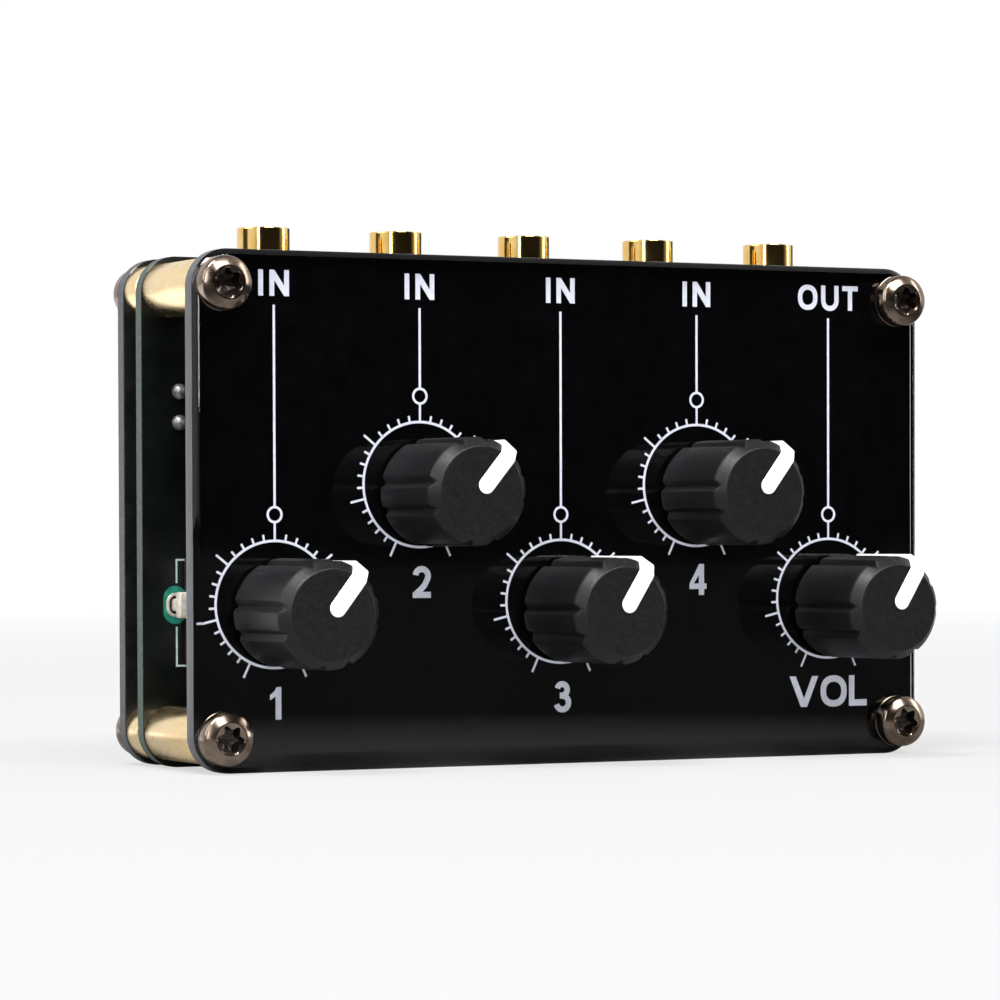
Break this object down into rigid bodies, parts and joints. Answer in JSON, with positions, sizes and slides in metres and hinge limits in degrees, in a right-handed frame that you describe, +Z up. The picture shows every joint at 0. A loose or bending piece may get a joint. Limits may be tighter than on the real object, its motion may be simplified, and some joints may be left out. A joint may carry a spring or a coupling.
{
  "type": "pocket mixing console",
  "caption": "Small upright passive audio mixer: stacked clear front panel, circuit board and rear panel with grooved level knobs and jack sockets along the top edge.",
  "frame": {"origin": "bottom centre of the bounding box: midway across the panels, midway between the knob pointers' faces and the rear screw heads, on the panels' bottom edges", "axes": "+X to the right as the user faces the knobs, +Y into the depth away from the user, +Z up"},
  "size_m": [0.0886, 0.0372, 0.0578],
  "materials": {
    "clear_acrylic": "clear, polished, thin bevel round the front edge",
    "black_ink": "opaque black print, seen through the clear panel",
    "rear_laminate": "black-lacquered laminate with bare greenish edges",
    "board_laminate": "dark solder mask, satin, with bare greenish edges",
    "spacer_brass": "fine turned grain, semi-bright",
    "screw_black_nickel": "black-nickel plated, glossy",
    "knob_soft_black": "soft-touch matte, fine grain",
    "pointer_white": "plain white, satin",
    "shaft_metal": "turned, satin",
    "pot_cover_steel": "stamped tinned steel, satin",
    "pot_wafer_brown": "laminated phenolic paper",
    "track_carbon": "printed carbon film",
    "tinned_metal": "tin-plated, bright solder",
    "jack_plastic": "moulded black, satin",
    "ferrule_gold": "gold-plated, polished",
    "resistor_ceramic": "black glaze over white ceramic"
  },
  "bodies": {
    "chassis": {"front_panel": "clear_acrylic", "back_print": "black_ink", "rear_panel": "rear_laminate", "circuit_board": "board_laminate", "front_standoffs": "spacer_brass", "rear_spacers": "spacer_brass", "front_screws": "screw_black_nickel", "rear_screws": "screw_black_nickel", "pot_cover_1": "pot_cover_steel", "pot_wafer_1": "pot_wafer_brown", "pot_cover_2": "pot_cover_steel", "pot_wafer_2": "pot_wafer_brown", "pot_cover_3": "pot_cover_steel", "pot_wafer_3": "pot_wafer_brown", "pot_cover_4": "pot_cover_steel", "pot_wafer_4": "pot_wafer_brown", "pot_cover_volume": "pot_cover_steel", "pot_wafer_volume": "pot_wafer_brown", "pot_tracks": "track_carbon", "pot_lugs": "tinned_metal", "pot_terminals": "tinned_metal", "jack_terminals": "tinned_metal", "jack_body_input_1": "jack_plastic", "jack_ferrule_input_1": "ferrule_gold", "jack_body_input_2": "jack_plastic", "jack_ferrule_input_2": "ferrule_gold", "jack_body_input_3": "jack_plastic", "jack_ferrule_input_3": "ferrule_gold", "jack_body_input_4": "jack_plastic", "jack_ferrule_input_4": "ferrule_gold", "jack_body_output": "jack_plastic", "jack_ferrule_output": "ferrule_gold", "jack_contacts": "ferrule_gold", "ground_link": "tinned_metal", "mixing_resistors": "resistor_ceramic"},
    "control_1": {"knob_1": "knob_soft_black", "pointer_1": "pointer_white", "shaft_1": "shaft_metal"},
    "control_2": {"knob_2": "knob_soft_black", "pointer_2": "pointer_white", "shaft_2": "shaft_metal"},
    "control_3": {"knob_3": "knob_soft_black", "pointer_3": "pointer_white", "shaft_3": "shaft_metal"},
    "control_4": {"knob_4": "knob_soft_black", "pointer_4": "pointer_white", "shaft_4": "shaft_metal"},
    "control_volume": {"knob_volume": "knob_soft_black", "pointer_volume": "pointer_white", "shaft_volume": "shaft_metal"}
  },
  "joints": [
    {"name": "control_1_turn", "type": "hinge", "parent": "chassis", "child": "control_1", "pos_m": [-0.03465, -0.00522, 0.01675], "axis": [0, 1, 0], "range_deg": [-188, 112]},
    {"name": "control_2_turn", "type": "hinge", "parent": "chassis", "child": "control_2", "pos_m": [-0.01765, -0.00522, 0.0294], "axis": [0, 1, 0], "range_deg": [-190, 110]},
    {"name": "control_3_turn", "type": "hinge", "parent": "chassis", "child": "control_3", "pos_m": [-0.00065, -0.00522, 0.01675], "axis": [0, 1, 0], "range_deg": [-182, 118]},
    {"name": "control_4_turn", "type": "hinge", "parent": "chassis", "child": "control_4", "pos_m": [0.01635, -0.00522, 0.0294], "axis": [0, 1, 0], "range_deg": [-187, 113]},
    {"name": "control_volume_turn", "type": "hinge", "parent": "chassis", "child": "control_volume", "pos_m": [0.03335, -0.00522, 0.01675], "axis": [0, 1, 0], "range_deg": [-181, 119]}
  ]
}
